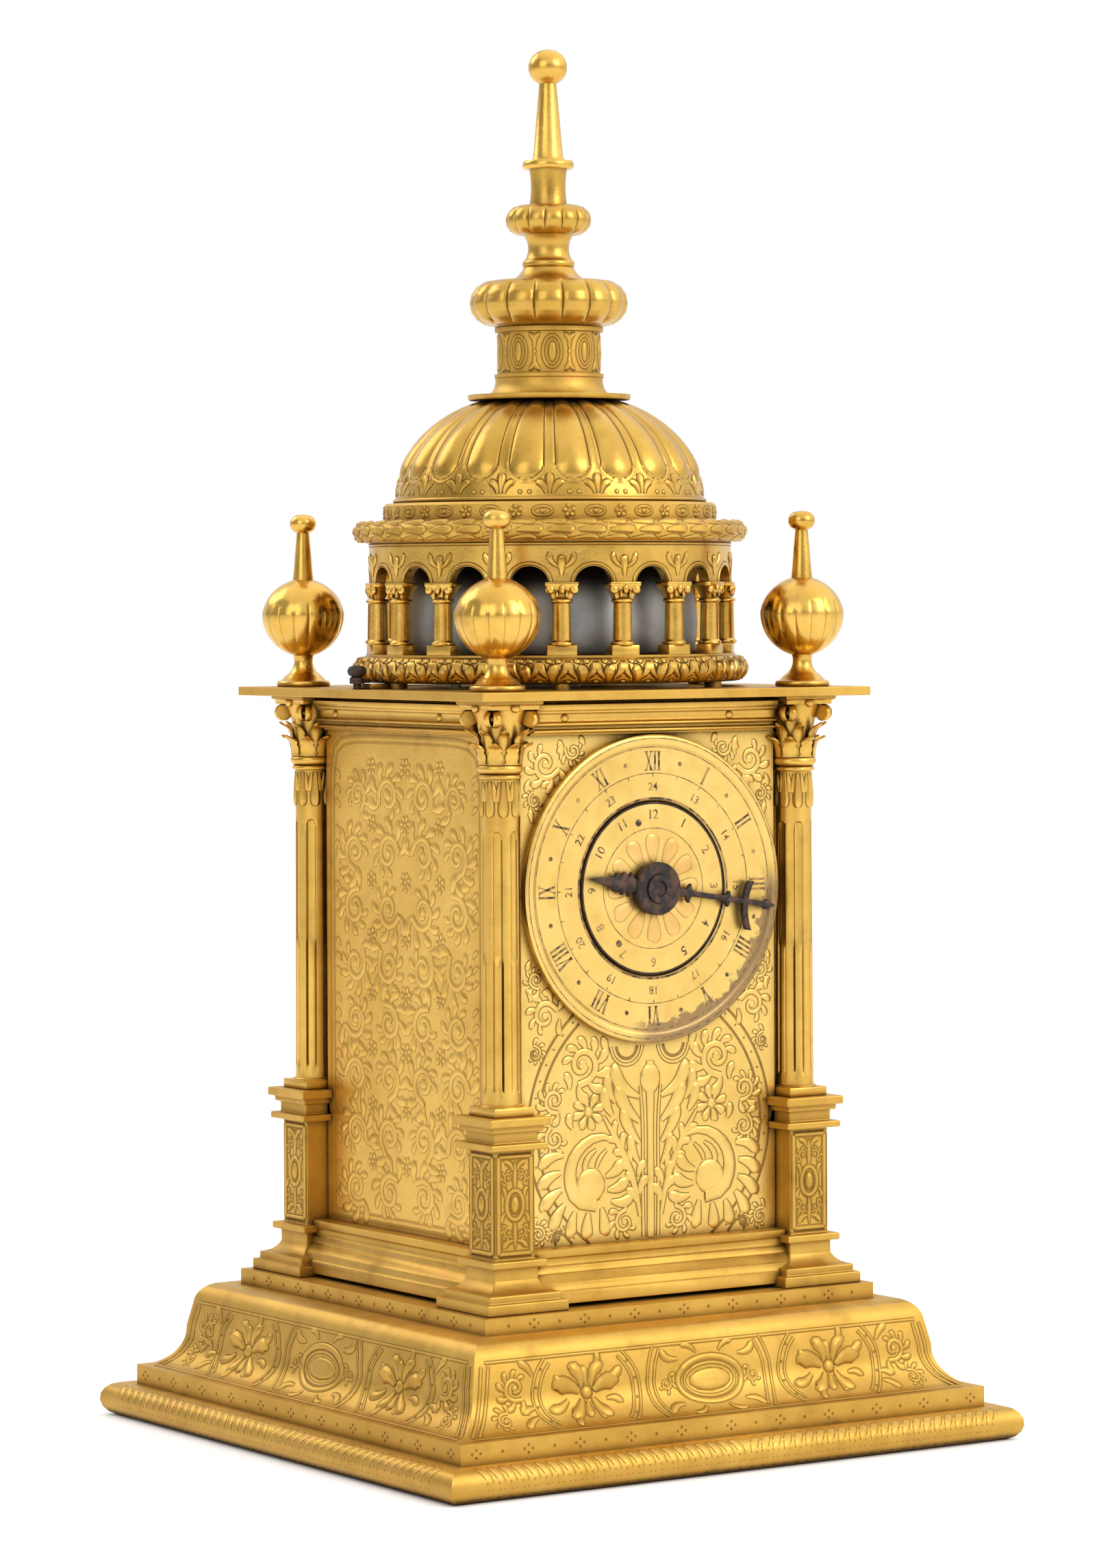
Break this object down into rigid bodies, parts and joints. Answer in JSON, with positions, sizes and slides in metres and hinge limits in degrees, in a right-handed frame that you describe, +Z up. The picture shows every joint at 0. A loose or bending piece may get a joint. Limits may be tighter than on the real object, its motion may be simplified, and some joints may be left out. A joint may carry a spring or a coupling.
{
  "type": "tower clock",
  "caption": "Gilt table clock shaped as a tower: moulded plinth, square case with corner columns, one-hand dial with alarm disc, arcaded bell gallery, lobed dome and spire.",
  "frame": {"origin": "middle of the plinth's foot, on the surface that it stands on", "axes": "+Z up, the dial faces -Y, +X to the right of someone facing the dial"},
  "size_m": [0.156, 0.156, 0.3201],
  "materials": {
    "gilt": "fire-gilt, worn",
    "iron": "dark forged",
    "steel": "filed",
    "bell_metal": "dull grey"
  },
  "bodies": {
    "case": {"back_panel": "gilt", "balance_cock": "steel", "base_moulding_back": "gilt", "base_moulding_front": "gilt", "base_moulding_left": "gilt", "base_moulding_right": "gilt", "bell": "bell_metal", "bell_nut": "steel", "bell_post": "steel", "case_post_back_left": "steel", "case_post_back_right": "steel", "case_post_front_left": "steel", "case_post_front_right": "steel", "column_back_left": "gilt", "column_back_right": "gilt", "column_front_left": "gilt", "column_front_right": "gilt", "cornice_back": "gilt", "cornice_front": "gilt", "cornice_left": "gilt", "cornice_right": "gilt", "dial": "gilt", "dome": "gilt", "finial_back_left": "gilt", "finial_back_right": "gilt", "finial_front_left": "gilt", "finial_front_right": "gilt", "front_panel": "gilt", "gallery_arches": "gilt", "gallery_base": "gilt", "gallery_cornice": "gilt", "gallery_piers_left": "gilt", "gallery_piers_right": "gilt", "gallery_sill": "gilt", "lantern": "gilt", "large_knop": "gilt", "left_panel": "gilt", "movement_back_plate": "steel", "movement_front_plate": "steel", "movement_pillars": "steel", "pedestal_back_left": "gilt", "pedestal_back_right": "gilt", "pedestal_front_left": "gilt", "pedestal_front_right": "gilt", "plinth": "gilt", "right_panel": "gilt", "small_knop": "gilt", "spire": "gilt", "spire_nut": "steel", "top_plate": "gilt"},
    "going_barrel": {"going_barrel": "steel"},
    "second_wheel": {"second_wheel": "steel"},
    "crown_wheel": {"crown_wheel": "steel"},
    "hour_hand": {"hour_wheel": "steel", "hour_hand": "iron"},
    "alarm_disc": {"alarm_disc": "gilt"},
    "balance": {"balance": "steel"},
    "strike_barrel": {"strike_barrel": "steel"},
    "pin_wheel": {"pin_wheel": "steel"},
    "fly": {"fly": "steel"},
    "hammer": {"hammer": "steel"},
    "gallery_latch": {"gallery_latch": "iron"}
  },
  "joints": [
    {"name": "going_barrel_turn", "type": "hinge", "parent": "case", "child": "going_barrel", "pos_m": [0.01644, 0, 0.08], "axis": [0, 1, 0], "continuous": true},
    {"name": "second_wheel_turn", "type": "hinge", "parent": "case", "child": "second_wheel", "pos_m": [0.01644, 0, 0.0986], "axis": [0, 1, 0], "continuous": true},
    {"name": "crown_wheel_turn", "type": "hinge", "parent": "case", "child": "crown_wheel", "pos_m": [0.01644, 0, 0.1166], "axis": [0, 1, 0], "continuous": true},
    {"name": "hour_hand_turn", "type": "hinge", "parent": "case", "child": "hour_hand", "pos_m": [0, 0, 0.127], "axis": [0, 1, 0], "continuous": true},
    {"name": "alarm_disc_turn", "type": "hinge", "parent": "case", "child": "alarm_disc", "pos_m": [0, 0, 0.127], "axis": [0, 1, 0], "continuous": true},
    {"name": "balance_swing", "type": "hinge", "parent": "case", "child": "balance", "pos_m": [0.01644, -0.0085, 0.151], "axis": [0, 0, 1], "range_deg": [-40, 40]},
    {"name": "strike_barrel_turn", "type": "hinge", "parent": "case", "child": "strike_barrel", "pos_m": [-0.01644, 0, 0.08], "axis": [0, 1, 0], "continuous": true},
    {"name": "pin_wheel_turn", "type": "hinge", "parent": "case", "child": "pin_wheel", "pos_m": [-0.01644, 0, 0.0986], "axis": [0, 1, 0], "continuous": true},
    {"name": "fly_turn", "type": "hinge", "parent": "case", "child": "fly", "pos_m": [-0.01644, 0, 0.1166], "axis": [0, 1, 0], "continuous": true},
    {"name": "hammer_draw", "type": "hinge", "parent": "case", "child": "hammer", "pos_m": [-0.028, 0, 0.1166], "axis": [0, 1, 0], "range_deg": [-1.2, 8], "stiffness_Nm_per_rad": 0.08},
    {"name": "latch_turn", "type": "hinge", "parent": "case", "child": "gallery_latch", "pos_m": [-0.0502, 0.004, 0.175], "axis": [0, 0, 1], "range_deg": [0, 90]}
  ],
  "couplings": [
    {"joint": "second_wheel_turn", "follows": "going_barrel_turn", "ratio": -4.1667},
    {"joint": "crown_wheel_turn", "follows": "going_barrel_turn", "ratio": 16.667},
    {"joint": "hour_hand_turn", "follows": "going_barrel_turn", "ratio": 0.52083},
    {"joint": "pin_wheel_turn", "follows": "strike_barrel_turn", "ratio": -4.1667},
    {"joint": "fly_turn", "follows": "strike_barrel_turn", "ratio": 16.667}
  ]
}
